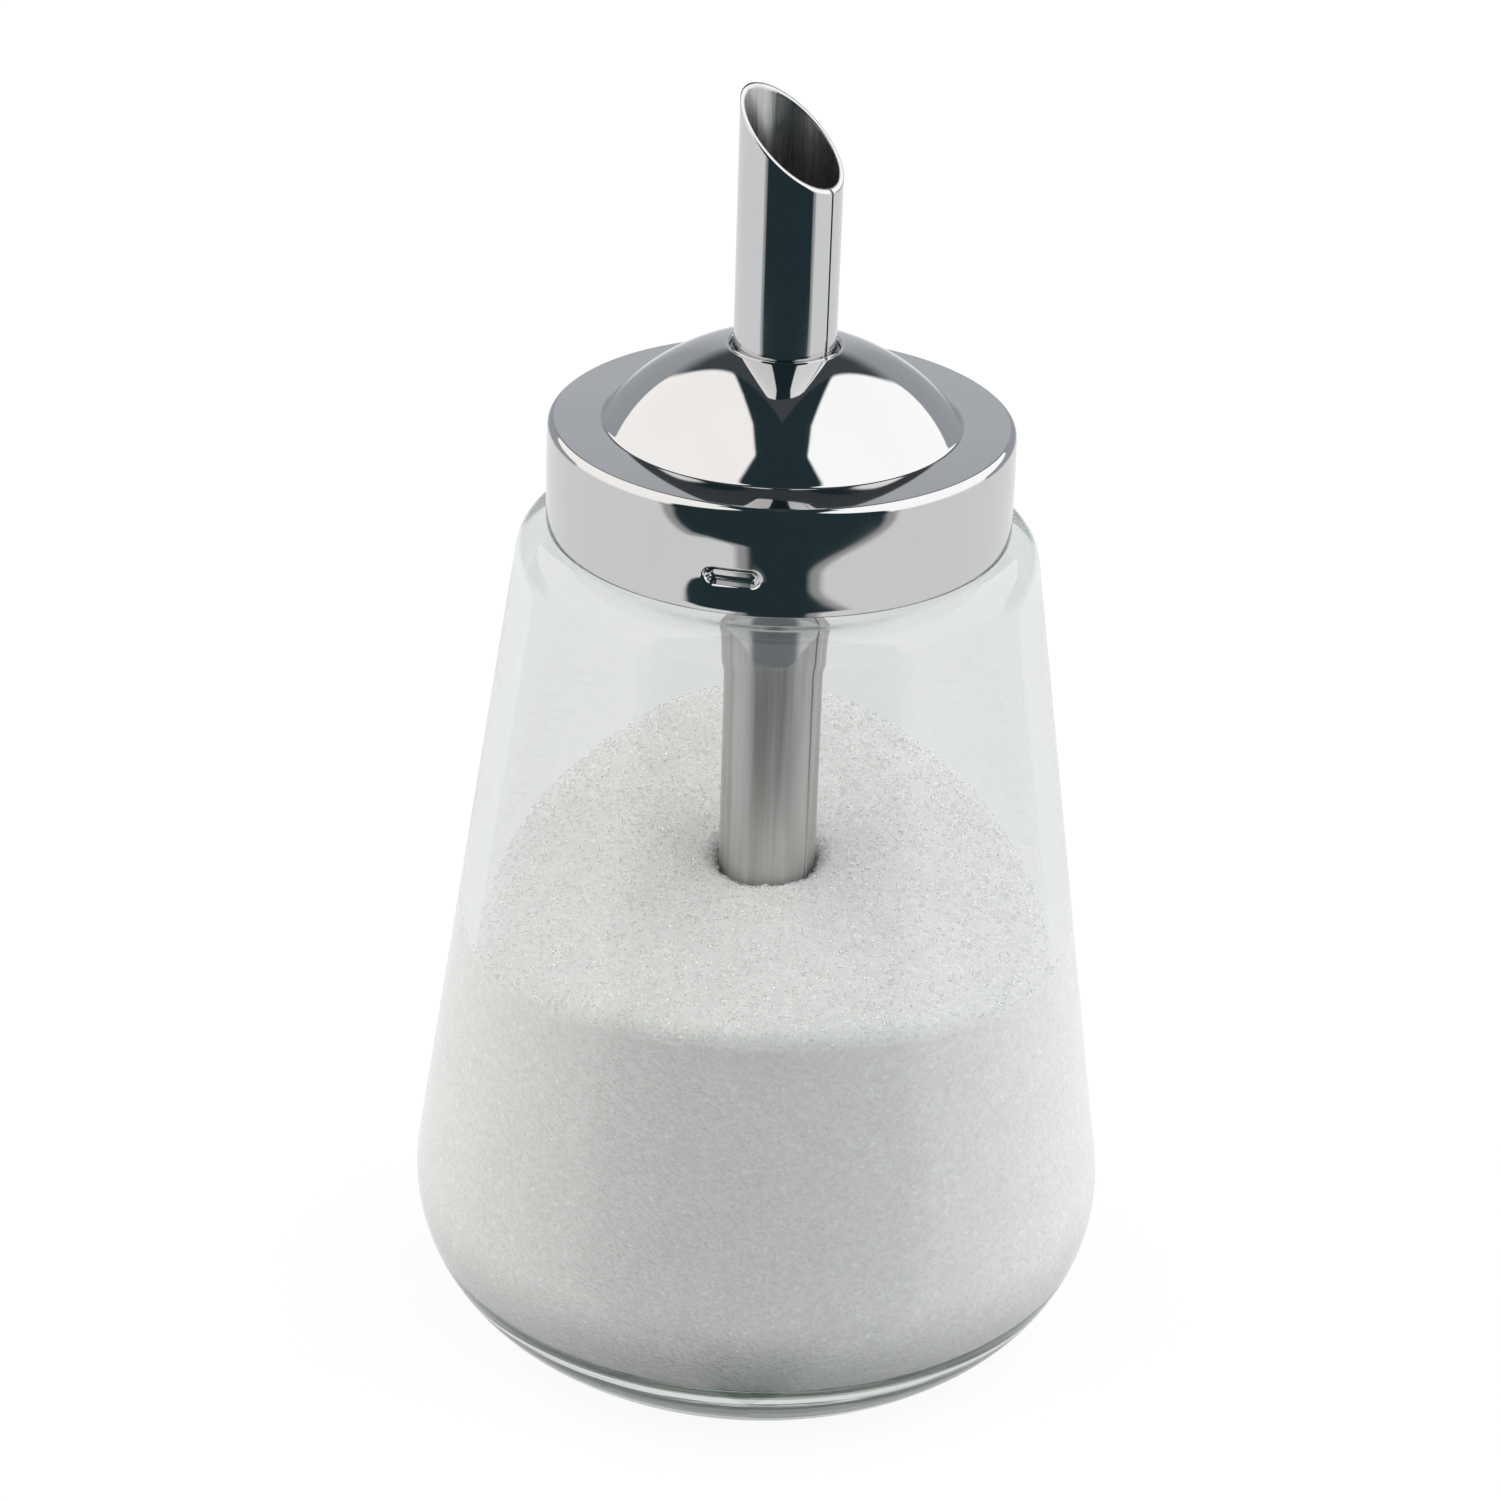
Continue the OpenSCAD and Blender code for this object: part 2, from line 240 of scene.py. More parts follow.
def revolve(name, outline, bearings, push=None, turns_round=True):
    """Spins an outline of (radius, height) points about the axis, over bearings in degrees.
    push may move the grid of points, and an open turn has its two ends closed by walls."""
    radius, height = np.array(outline, float).T
    radius, height = radius[:, None] + 0 * bearings, height[:, None] + 0 * bearings
    if push:
        radius, height = push(radius, height, bearings + 0 * radius)
    turn = np.radians(bearings)
    points = np.stack([radius * np.cos(turn), radius * np.sin(turn), height], -1) * mm
    rows, columns = radius.shape
    grid = np.arange(rows * columns).reshape(rows, columns)
    if turns_round:
        grid = np.concatenate([grid, grid[:, :1]], 1)
    looped = outline[0][0] > 0
    if looped:
        grid = np.concatenate([grid, grid[:1]], 0)
    quads = np.stack([grid[:-1, :-1], grid[:-1, 1:], grid[1:, 1:], grid[1:, :-1]], -1)
    faces = quads.reshape(-1, 4).tolist()
    if not turns_round:
        for end in (grid[:-1, 0], grid[:-1, -1]):
            half = len(end) // 2
            faces += [(end[i], end[i + 1], end[-i - 2], end[-i - 1]) for i in range(half - 1)]
    mesh = bpy.data.meshes.new(name)
    mesh.from_pydata(points.reshape(-1, 3).tolist(), [], faces)
    shape = bmesh.new()
    shape.from_mesh(mesh)
    bmesh.ops.remove_doubles(shape, verts=shape.verts, dist=weld * mm)
    bmesh.ops.recalc_face_normals(shape, faces=shape.faces)
    shape.to_mesh(mesh)
    shape.free()
    mesh.shade_smooth()
    piece = bpy.data.objects.new(name, mesh)
    scene.collection.objects.link(piece)
    return piece


jar_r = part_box("glass_jar")[1].x / mm
rim_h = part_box("glass_jar")[1].z / mm
neck_r, neck_t, neck_h = 22.6, 2.8, 10.15
ledge_r, ledge_h = 27.8, rim_h - neck_h
wall_t, floor_t = 2.8, 5
heel_r, heel_h, inner_heel_r, edge_r = 16.5, 15, 11, 3
shoulder_r, inner_shoulder_r, roof_fall = 4.2, 3, 9
rim_r, foot_r, throat_r = 1.2, 0.8, 1.5
push_up_r, push_up_h = 24, 1.2
ridge_out, ridge_half_t, ridge_half_span = 1.4, 0.75, 39
ridge_slope, ridge_flank, ridge_taper = radians(3.5), 0.5, 3
ridge_mid_h, ridge_bearings = 103.46, (-41, 79, 199)
skin_from, skin_to = 2, 2.25
neck_row_gap, jar_turn_step = 0.25, 0.9

heel = (jar_r - heel_r, heel_h)
ledge_corner = (ledge_r, ledge_h)
reach = hypot(ledge_corner[0] - heel[0], ledge_corner[1] - heel[1])
cone = atan2(ledge_corner[1] - heel[1], ledge_corner[0] - heel[0]) - acos(heel_r / reach)
cone_deg = degrees(cone)


def in_cone(height, radius, inset=0):
    """Radius of the middle of a circle at a height, where it touches the cone from inside."""
    return ledge_corner[0] - (inset + radius + (height - ledge_h) * sin(cone)) / cos(cone)


edge_deg = degrees(asin((heel[1] - edge_r) / (heel_r - edge_r)))
edge = (heel[0] + (heel_r - edge_r) * cos(radians(edge_deg)), edge_r)
shoulder = (in_cone(ledge_h - shoulder_r, shoulder_r), ledge_h - shoulder_r)
roof_h = ledge_h - wall_t - inner_shoulder_r
inner_shoulder = (in_cone(roof_h, inner_shoulder_r, wall_t), roof_h)
inner_heel_h = floor_t + inner_heel_r
inner_heel = (in_cone(inner_heel_h, inner_heel_r, wall_t), inner_heel_h)
bore_r = neck_r - neck_t
lean, both_r = radians(roof_fall), inner_shoulder_r + throat_r
roof_width = inner_shoulder[0] - bore_r - throat_r + both_r * sin(lean)
throat = (bore_r + throat_r, inner_shoulder[1] + both_r * cos(lean) + roof_width * tan(lean))
ball_r = (push_up_r**2 + push_up_h**2) / (2 * push_up_h)
ball_deg = degrees(asin(push_up_r / ball_r))
rim_mid_h = rim_h - rim_r

outline = arc((0, push_up_h - ball_r), ball_r, 90, 90 - ball_deg, 14)
outline += line(outline[-1], (edge[0], 0), 4)
outline += arc(edge, edge_r, -90, -edge_deg, 8)
outline += arc(heel, heel_r, -edge_deg, cone_deg, 28)[1:]
outline += line(outline[-1], arc(shoulder, shoulder_r, cone_deg, 90)[0], 8)
outline += arc(shoulder, shoulder_r, cone_deg, 90, 20)
outline += line(outline[-1], (neck_r + foot_r, ledge_h), 6)
outline += arc((neck_r + foot_r, ledge_h + foot_r), foot_r, 270, 180, 6)
outline += [(neck_r, h) for h in np.arange(ledge_h + 1, rim_mid_h, neck_row_gap)]
outline += arc((neck_r - rim_r, rim_mid_h), rim_r, 0, 90, 8)
outline += arc((bore_r + rim_r, rim_mid_h), rim_r, 90, 180, 8)
outline += line(outline[-1], (bore_r, throat[1]), 8)
outline += arc(throat, throat_r, 180, 270 - roof_fall, 8)
outline += line(outline[-1], arc(inner_shoulder, inner_shoulder_r, 90 - roof_fall, 0)[0], 6)
outline += arc(inner_shoulder, inner_shoulder_r, 90 - roof_fall, cone_deg, 16)
outline += line(outline[-1], arc(inner_heel, inner_heel_r, cone_deg, -90)[0], 8)
outline += arc(inner_heel, inner_heel_r, cone_deg, -90, 24)
outline += line(outline[-1], (0, floor_t), 6)
outline += [(0, floor_t)]


def raise_ridges(radius, height, bearing):
    """Lifts the neck's outside where a ridge runs, with rounded flanks and tapered ends."""
    outside = np.clip((radius - bore_r - skin_from) / (skin_to - skin_from), 0, 1)
    outside = outside * (height > ledge_h + foot_r)
    for middle in ridge_bearings:
        away = (bearing - middle + 180) % 360 - 180
        mid_h = ridge_mid_h + neck_r * np.sin(np.radians(away)) * tan(ridge_slope)
        over = np.clip((ridge_half_t + ridge_flank / 2 - abs(height - mid_h)) / ridge_flank, 0, 1)
        along = np.clip((ridge_half_span - abs(away)) / ridge_taper, 0, 1)
        bump = (over * over * (3 - 2 * over)) * (along * (2 - along))
        radius = radius + ridge_out * bump * outside
    return radius, height


glass_jar = revolve("glass_jar_blown", outline, np.arange(0, 360, jar_turn_step), raise_ridges)

# The glass is clear, and faintly green where it is thick. Its walls wave a little, and its foot
# carries fine rings. A ray that has met many walls, or only brings light, goes straight through.
surface_tint, through_tint = (0.90, 0.90, 0.91, 1), (0.97, 0.975, 0.97, 1)
depth_tint, tint_per_metre = (0.77, 0.81, 0.785, 1), 85
rings_fade, many_walls = (3.5 * mm, 7.5 * mm), 4.5

glass = bpy.data.materials.new("clear_glass")
glass_jar.data.materials.append(glass)
melt = Tree(glass)
ray = melt.node("LightPath")
spot = melt.node("TexCoord")["Object"]
drawn = melt.node("Mapping", None, {"Vector": spot, "Scale": (1, 1, 2.2)})
sway = melt.node("TexNoise", None, {"Vector": drawn, "Scale": 60, "Detail": 2})
swirl = melt.node("TexNoise", None, {"Vector": drawn, "Scale": 260, "Detail": 1})
waves = melt.node("Bump", None, {"Strength": 0.012, "Distance": 0.5 * mm, "Height": sway + swirl * 0.06})
part = melt.node("SeparateXYZ", None, {0: spot})
from_axis = (part["X"] * part["X"] + part["Y"] * part["Y"]).math("SQRT")
around = part["X"].math("ARCTAN2", part["Y"]) * mm
rings = melt.node("CombineXYZ", None, {0: from_axis, 1: part["Z"], 2: around})
rings = melt.node("TexNoise", None, {"Vector": rings, "Scale": 900, "Detail": 2})
rings = rings * melt.step(part["Z"], *rings_fade, 1, 0)
waves = melt.node("Bump", None, {
    "Strength": 0.8, "Distance": 0.3 * mm, "Height": rings, "Normal": waves})
body = melt.node("BsdfPrincipled", None, {
    "Base Color": surface_tint, "Roughness": 0.0, "IOR": 1.5,
    "Transmission Weight": 1.0, "Normal": waves})
clear = melt.node("BsdfTransparent", None, {0: through_tint})
lit = ray["Is Shadow Ray"].math("MAXIMUM", ray["Is Diffuse Ray"])
lit = lit.math("MAXIMUM", ray["Ray Depth"].math("GREATER_THAN", many_walls))
tint = melt.node("VolumeAbsorption", None, {"Color": depth_tint, "Density": tint_per_metre})
surface = melt.node("MixShader", None, {0: lit, 1: body, 2: clear})
melt.node("OutputMaterial", None, {"Surface": surface, "Volume": tint})
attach(glass_jar, "jar")
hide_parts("glass_jar")

# sugar_bed: dry white sugar, two thirds of the jar, shaken level and then tipped, so that it lies
# higher at the back. It clings to the glass wall, and keeps a hair of air to the floor, to the
# floor's corner and to the tube that stands in it.
air, cling = 0.3, 0.03
bed_h, bed_tilt, bed_bearing = 57.2, radians(9.5), radians(92)
crown_r, heap_r, heap_h, heap_way = 85, 45, 1.2, 28
dip_r, dip_h = 14, 1.4
heap_blend, dip_blend = 3, 4
mound_x, mound_y, mound_h, mound_spread = 1, -8, 0.5, 14
ripple_h, slump_h = 0.10, 0.22
tube_r = 5.45
hole_r, hole_h, hole_top_h = tube_r + air, 15.7, 50
hole_brow_h, hole_brow_share = 0.9, 14
brim_round = 2
hole_rows, top_rows, brim_rows, side_rows, heel_rows = 10, 56, 10, 56, 33
floor_rows, bed_turn_step, settling_rounds = (18, 12, 6, 0), 1.25, 12
bed_heel_r = inner_heel_r + cling
loose_from, loose_to = -38, -50


def bed_top(x, y):
    """Height of the sugar's surface: a sloping crown with a heap at its high side, a dip round
    the tube, a low mound in front of it, and ripples."""
    up, side = x * cos(bed_bearing) + y * sin(bed_bearing), y * cos(bed_bearing) - x * sin(bed_bearing)
    crown = (np.sqrt(crown_r**2 - side**2) - crown_r) / cos(bed_tilt)
    crown = bed_h + up * tan(bed_tilt) + crown
    heap_up, heap_out = heap_way * cos(bed_tilt), heap_way * sin(bed_tilt)
    from_heap = up - heap_up - (heap_r - heap_h) * sin(bed_tilt)
    heap = np.sqrt(np.clip(heap_r**2 - from_heap**2 - side**2, 0, None))
    heap = bed_h + heap_out - (heap_r - heap_h) * cos(bed_tilt) + heap
    top = np.logaddexp(crown * heap_blend, heap * heap_blend) / heap_blend
    dip = bed_h + up * tan(bed_tilt) - dip_h * (1 - np.hypot(up, side) / dip_r)
    top = -np.logaddexp(-top * dip_blend, -dip * dip_blend) / dip_blend
    top = top + mound_h * np.exp(-((x - mound_x) ** 2 + (y - mound_y) ** 2) / mound_spread)
    ripple = np.sin(x * 0.9 + 0.7 * np.sin(y * 0.6)) * np.sin(y * 0.8 + 0.5 * np.sin(x * 0.7))
    slump = np.sin(x * 0.31 + 1.3 * np.sin(y * 0.17 + 1)) * np.sin(y * 0.27 + 2)
    return top + ripple_h * ripple + slump_h * slump


bearings = np.arange(0, 360, bed_turn_step)
turn = np.radians(bearings)
brim_h = np.full(len(bearings), float(bed_h))
for _ in range(settling_rounds):
    brim_r = in_cone(brim_h, 0, wall_t - cling)
    brim_h = bed_top(brim_r * np.cos(turn), brim_r * np.sin(turn)) - brim_round
outline = [(0, hole_h), (hole_r / 2, hole_h)]
outline += [(hole_r, h) for h in np.linspace(hole_h, hole_top_h, hole_rows)]
first_top = len(outline)
outline += [(1, 1)] * (top_rows + brim_rows + side_rows)
first_heel = len(outline)
for turned in np.linspace(cone_deg, -90, heel_rows):
    loose = np.clip((loose_from - turned) / (loose_from - loose_to), 0, 1)
    outline += arc(inner_heel, bed_heel_r - (air + cling) * loose, turned, turned, 1)[:1]
outline += [(r, floor_t + air) for r in floor_rows]


def pour(radius, height, bearing):
    """Sets the top's, the brim's and the side's rows, which differ from bearing to bearing."""
    share = np.linspace(0, 1, top_rows)[:, None]
    bend = np.radians(np.linspace(0, 90, brim_rows + 1)[1:, None])
    top_r = hole_r + (brim_r - brim_round - hole_r) * share
    top_r = np.concatenate([top_r, brim_r - brim_round * (1 - np.sin(bend))])
    brow = hole_brow_h * np.clip(1 - share * hole_brow_share, 0, 1) ** 2
    drop = np.concatenate([brow, brim_round * (1 - np.cos(bend))])
    top = bed_top(top_r * np.cos(turn), top_r * np.sin(turn)) - drop
    down = np.linspace(0, 1, side_rows + 2)[1:-1, None]
    side = brim_h + (inner_heel[1] + bed_heel_r * sin(cone) - brim_h) * down
    radius[first_top:first_heel] = np.concatenate([top_r, in_cone(side, 0, wall_t - cling)])
    height[first_top:first_heel] = np.concatenate([top, side])
    return radius, height


sugar_bed = revolve("sugar_bed", outline, bearings, pour)

# Each crystal in the bed is one cell of a pattern with its own tint and gloss. A few cells are
# glossier and carry a painted glint: their colour is painted brighter. Light soaks in, so the
# shading turns softly with the jar and not with each ripple.
cell_size, glint_size = 0.38 * mm, 0.38 * 1.3 * mm
rare, painted_glint_light, glint_gloss = (0.955, 0.965), 0.08, 0.1
noise_low, noise_high = 0.3, 0.7
warm_sugar, cool_sugar = (0.93, 0.91, 0.90, 1), (0.94, 0.925, 0.925, 1)
outward_pull, own_share = 9, 0.7

sugar = bpy.data.materials.new("sugar")
sugar_bed.data.materials.append(sugar)
pile = Tree(sugar)
spot = pile.node("TexCoord")["Object"]
cell = pile.node("TexVoronoi", None, {"Vector": spot, "Scale": 1 / cell_size})
fine = pile.node("TexNoise", None, {"Vector": spot, "Scale": 1500, "Detail": 2, "Roughness": 0.7})
clump = pile.node("TexNoise", None, {"Vector": spot, "Scale": 160, "Detail": 2})
lot = pile.node("SeparateColor", None, {0: cell["Color"]})
glint = pile.node("TexVoronoi", None, {"Vector": spot, "Scale": 1 / glint_size})
glint = pile.step(pile.node("SeparateColor", None, {0: glint["Color"]})["Green"], *rare)
bright = pile.step(lot["Red"], 0, 1, 0.89, 0.97)
bright = bright * pile.step(clump, noise_low, noise_high, 0.98, 1)
# Painted highlight: the rare glint cells get a brighter colour, besides their real lower roughness.
bright = bright + glint * painted_glint_light
white = pile.mix(lot["Green"], warm_sugar, cool_sugar)
white = pile.node("VectorMath", {"operation": "SCALE"}, {0: white, "Scale": bright})
relief = cell["Distance"] * -0.8 + fine * 0.7
gloss = pile.step(lot["Blue"], 0.75, 0.95, 0.55, 0.2) - glint * glint_gloss
outward = pile.node("VectorMath", {"operation": "MULTIPLY"}, {0: spot, 1: (outward_pull, outward_pull, 0)})
soft = pile.node("VectorMath", {"operation": "ADD"}, {0: outward, 1: (0, 0, 1)})
facing = pile.node("NewGeometry")["Normal"]
facing = pile.node("VectorMath", {"operation": "SCALE"}, {0: facing, "Scale": own_share})
facing = pile.node("VectorMath", {"operation": "ADD"}, {0: facing, 1: soft})
facing = pile.node("VectorMath", {"operation": "NORMALIZE"}, {0: facing})
bumps = pile.node("Bump", None, {
    "Strength": 0.80, "Distance": 0.1 * mm, "Height": relief, "Normal": facing})
pile.node("OutputMaterial", None, {0: pile.node("BsdfPrincipled", None, {
    "Base Color": white, "Roughness": gloss, "IOR": 1.54, "Normal": bumps,
    "Subsurface Weight": 0.7, "Subsurface Radius": (1, 1, 0.96), "Subsurface Scale": 1.4 * mm})})
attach(sugar_bed, "jar")
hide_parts("sugar_fill")

# sugar_grains: the loose crystals that lie on the bed, a third to half a millimetre across, or a
# little more, each a small clear block with its own turn. They lie thicker against the tube.
grains_per_area, grains_at_tube = 1.8e6, 3.0e6
grain_size = 0.46 * mm
near_tube, off_tube = 5.9 * mm, 7.5 * mm
faces_up, above_hole = 0.3, 45 * mm
grain_block = (1.0, 0.8, 0.7)
smallest, largest = 0.6, 1.25
full_turn = 6.3

grains = bpy.data.node_groups.new("strewn_grains", "GeometryNodeTree")
sides = grains.interface
sides.new_socket("Bed", in_out="INPUT", socket_type="NodeSocketGeometry")
count_in = sides.new_socket("Grains per area", in_out="INPUT", socket_type="NodeSocketFloat")
foot_in = sides.new_socket("More at the tube", in_out="INPUT", socket_type="NodeSocketFloat")
size_in = sides.new_socket("Grain size", in_out="INPUT", socket_type="NodeSocketFloat")
sides.new_socket("Grains", in_out="OUTPUT", socket_type="NodeSocketGeometry")


def grain_node(kind, settings=None, sockets=None):
    """Adds a node to the tree of grains, in the way of Tree.node."""
    node = grains.nodes.new(kind)
    for key, value in (settings or {}).items():
        setattr(node, key, value)
    for key, value in (sockets or {}).items():
        if isinstance(value, bpy.types.NodeSocket):
            grains.links.new(value, node.inputs[key])
        else:
            node.inputs[key].default_value = value
    return node.outputs


given = grain_node("NodeGroupInput")
upward = grain_node("ShaderNodeSeparateXYZ", None, {0: grain_node("GeometryNodeInputNormal")[0]})
place = grain_node("ShaderNodeSeparateXYZ", None, {0: grain_node("GeometryNodeInputPosition")[0]})
lies_up = grain_node("FunctionNodeCompare", None, {0: upward["Z"], 1: faces_up})
is_high = grain_node("FunctionNodeCompare", None, {0: place["Z"], 1: above_hole})
on_top = grain_node("FunctionNodeBooleanMath", None, {0: lies_up[0], 1: is_high[0]})
flat = grain_node("ShaderNodeCombineXYZ", None, {0: place["X"], 1: place["Y"]})
from_axis = grain_node("ShaderNodeVectorMath", {"operation": "LENGTH"}, {0: flat[0]})
at_tube = grain_node("ShaderNodeMapRange", None, {
    0: from_axis["Value"], 1: near_tube, 2: off_tube, 3: given["More at the tube"], 4: 0.0})
number = grain_node("ShaderNodeMath", None, {0: given["Grains per area"], 1: at_tube[0]})
strewn = grain_node("GeometryNodeDistributePointsOnFaces", None, {
    "Mesh": given["Bed"], "Selection": on_top[0], "Density": number[0], "Seed": 7})
block = grain_node("GeometryNodeMeshCube", None, {"Size": grain_block})
lot = grain_node("FunctionNodeRandomValue", {"data_type": "FLOAT"}, {2: smallest, 3: largest, "Seed": 3})
wide = grain_node("ShaderNodeMath", {"operation": "MULTIPLY"}, {0: lot[1], 1: given["Grain size"]})
spin = grain_node("FunctionNodeRandomValue", {"data_type": "FLOAT_VECTOR"}, {
    0: (0, 0, 0), 1: (full_turn, full_turn, full_turn), "Seed": 5})
laid = grain_node("GeometryNodeInstanceOnPoints", None, {
    "Points": strewn[0], "Instance": block[0], "Rotation": spin[0], "Scale": wide[0]})
real = grain_node("GeometryNodeRealizeInstances", None, {0: laid[0]})
crystal = bpy.data.materials.new("sugar_crystal")
coated = grain_node("GeometryNodeSetMaterial", None, {0: real[0], "Material": crystal})
grain_node("NodeGroupOutput", None, {0: coated[0]})

strew = sugar_bed.modifiers.new("strewn_grains", "NODES")
strew.node_group = grains
strew[count_in.identifier] = grains_per_area
strew[foot_in.identifier] = grains_at_tube
strew[size_in.identifier] = grain_size
ready = sugar_bed.evaluated_get(bpy.context.evaluated_depsgraph_get())
sugar_grains = bpy.data.objects.new("sugar_grains", bpy.data.meshes.new_from_object(ready))
scene.collection.objects.link(sugar_grains)
sugar_bed.modifiers.remove(strew)

shine = Tree(crystal)
ray = shine.node("LightPath")
fleck = shine.node("TexNoise", None, {"Vector": shine.node("TexCoord")["Object"], "Scale": 1500})
body = shine.node("BsdfPrincipled", None, {
    "Base Color": shine.mix(fleck, (0.95, 0.95, 0.94, 1), (1.0, 1.0, 0.995, 1)),
    "Roughness": shine.step(fleck, noise_low, noise_high, 0.1, 0.35),
    "IOR": 1.18, "Transmission Weight": 0.85})
clear = shine.node("BsdfTransparent", None, {0: (0.99, 0.99, 0.99, 1)})
lit = ray["Is Shadow Ray"].math("MAXIMUM", ray["Is Diffuse Ray"])
shine.node("OutputMaterial", None, {0: shine.node("MixShader", None, {0: lit, 1: body, 2: clear})})
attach(sugar_grains, "jar")

# sealing_ring: a flat ring of soft milky plastic, punched from sheet, that lies on the glass rim
# and is pressed by the cap.
seal_low, seal_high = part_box("sealing_ring")
seal_in, seal_out, seal_t, seal_round = bore_r, seal_high.x / mm, 1.2, 0.25
seal_turn_step = 3
low, high = seal_low.z / mm, seal_high.z / mm
outline = []
for middle, start in (((seal_out, high), 0), ((seal_in, high), 90), ((seal_in, low), 180),
                      ((seal_out, low), 270)):
    inwards = (1 if middle[0] == seal_in else -1, 1 if middle[1] == low else -1)
    centre = (middle[0] + inwards[0] * seal_round, middle[1] + inwards[1] * seal_round)
    outline += arc(centre, seal_round, start, start + 90, 5)
sealing_ring = revolve("sealing_ring_soft", outline, np.arange(0, 360, seal_turn_step))
soft = bpy.data.materials.new("milky_plastic")
sealing_ring.data.materials.append(soft)
milk = Tree(soft)
cloud = milk.node("TexNoise", None, {"Vector": milk.node("TexCoord")["Object"], "Scale": 300})
milk.node("OutputMaterial", None, {0: milk.node("BsdfPrincipled", None, {
    "Base Color": milk.mix(cloud, (0.80, 0.80, 0.77, 1), (0.86, 0.86, 0.84, 1)),
    "Roughness": milk.step(cloud, noise_low, noise_high, 0.35, 0.5)})})
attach(sealing_ring, "seal")
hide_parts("sealing_ring")

# cap_shell: one sheet of stainless steel, half a millimetre thick, drawn to a skirt, a flat ring
# and a dome, with three lugs pressed in that catch the ridges, and mirror-polished outside.
cap_low, cap_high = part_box("cap_shell")
cap_r = cap_high.x / mm
sheet_t = 0.5
skirt_h = cap_low.z / mm
ring_h = rim_h + seal_t + sheet_t
brow_r, dome_r, dome_rise, hollow_r = 0.9, 24.6, 9.15, 0.55
brow_h = ring_h - brow_r
dome_h = ring_h + dome_rise - dome_r
hollow_h = ring_h + hollow_r
hollow_mid = sqrt((dome_r + hollow_r) ** 2 - (hollow_h - dome_h) ** 2)
hollow_deg = degrees(atan2(hollow_h - dome_h, hollow_mid))
cap_hole_gap = 0.5
hole_deg = degrees(acos((tube_r + cap_hole_gap) / dome_r))
waist_in, brow_in, lip_out, hem_in = 0.05, 0.10, 0.05, 0.04
lip_from, brow_from, hem_h = 100.6, 101.6, 0.5
lug_bearings = (-101, 19, 139)
lug_half_w, lug_half_t, lug_h, lug_in = 3.1, 1.1, 100.9, 1.2
lug_edge, lug_flank = 0.05, 0.8
dimple, dimple_r = 0.18, 1.6
foot_lift, foot_rows, foot_row_gap = 0.06, 4, 0.02
low_rows_lift, low_row_gap, high_row_gap = 0.2, 0.25, 0.3
lug_rows_from, lug_rows_to, lug_row_gap = 98.75, 103.05, 0.14
cap_turn_step, lug_turn_step, lug_turn = 1.6, 0.34, 10.2


def sheet_line(inset):
    """The sheet's line from the skirt's foot to the tube's hole, moved inwards by inset. Its rows
    stand closer together at the foot and where the lugs are."""
    foot = skirt_h + foot_lift
    rows = [foot + foot_row_gap * i for i in range(foot_rows)]
    rows += list(np.arange(foot + low_rows_lift, lug_rows_from - 0.05, low_row_gap))
    rows += list(np.arange(lug_rows_from, lug_rows_to, lug_row_gap))
    rows += list(np.arange(lug_rows_to + 0.15, brow_h, high_row_gap))
    points = [(cap_r - inset, h) for h in rows]
    points += arc((cap_r - brow_r, brow_h), brow_r - inset, 0, 90, 20)
    points += line((cap_r - brow_r, ring_h - inset), (hollow_mid, ring_h - inset), 10)
    points += arc((hollow_mid, hollow_h), hollow_r + inset, 270, 180 + hollow_deg, 16)
    points += arc((0, dome_h), dome_r - inset, hollow_deg, hole_deg, 44)[1:]
    return points


def press(radius, height, bearing):
    """Gives the skirt its slight waist and lip, and presses the lugs in through both faces."""
    on_skirt = np.clip((radius - cap_r + brow_r) / (brow_r - sheet_t), 0, 1)
    upper = np.clip((height - brow_from) / (brow_h - brow_from), 0, None)
    lower = np.clip((lip_from - height) / (lip_from - skirt_h), 0, 1)
    hem = np.clip((skirt_h + hem_h - height) / hem_h, 0, 1)
    pushed = -waist_in - brow_in * upper**2 + lip_out * lower**2 - hem_in * hem**2
    for middle in lug_bearings:
        around = np.radians((bearing - middle + 180) % 360 - 180) * cap_r
        beyond = np.clip(abs(around) - (lug_half_w - lug_half_t), 0, None)
        away = np.hypot(beyond, height - lug_h)
        deep = np.clip((lug_half_t - away + lug_edge) / lug_flank, 0, 1)
        pushed = pushed - lug_in * deep**2 * (3 - 2 * deep)
        pushed = pushed - dimple * np.exp(-(away**2) / (2 * dimple_r**2)) * (1 - deep)
    return radius + pushed * on_skirt, height


outline = sheet_line(0) + sheet_line(sheet_t)[::-1]
bearings = list(np.arange(0, 360, cap_turn_step))
for middle in lug_bearings:
    bearings = [b for b in bearings if abs((b - middle + 180) % 360 - 180) > lug_turn + 0.3]
    bearings += list((middle + np.arange(-lug_turn, lug_turn + 0.1, lug_turn_step)) % 360)
cap_shell = revolve("cap_shell_drawn", outline, np.array(sorted(bearings)), press)
dull_steel, bright_steel = (0.60, 0.605, 0.61, 1), (0.64, 0.64, 0.64, 1)
haze_low, haze_high = 0.35, 0.75
steel = bpy.data.materials.new("polished_steel")
cap_shell.data.materials.append(steel)
polish = Tree(steel)
spot = polish.node("TexCoord")["Object"]
haze = polish.node("TexNoise", None, {"Vector": spot, "Scale": 90, "Detail": 4})
pull = polish.node("TexNoise", None, {"Vector": spot, "Scale": 45, "Detail": 1})
drawn = polish.node("Bump", None, {"Strength": 0.2, "Distance": 0.4 * mm, "Height": pull})
polish.node("OutputMaterial", None, {0: polish.node("BsdfPrincipled", None, {
    "Base Color": polish.mix(haze, dull_steel, bright_steel), "Metallic": 1.0,
    "Roughness": polish.step(haze, haze_low, haze_high, 0.02, 0.055), "Normal": drawn})})
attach(cap_shell, "cap")
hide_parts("cap_shell")

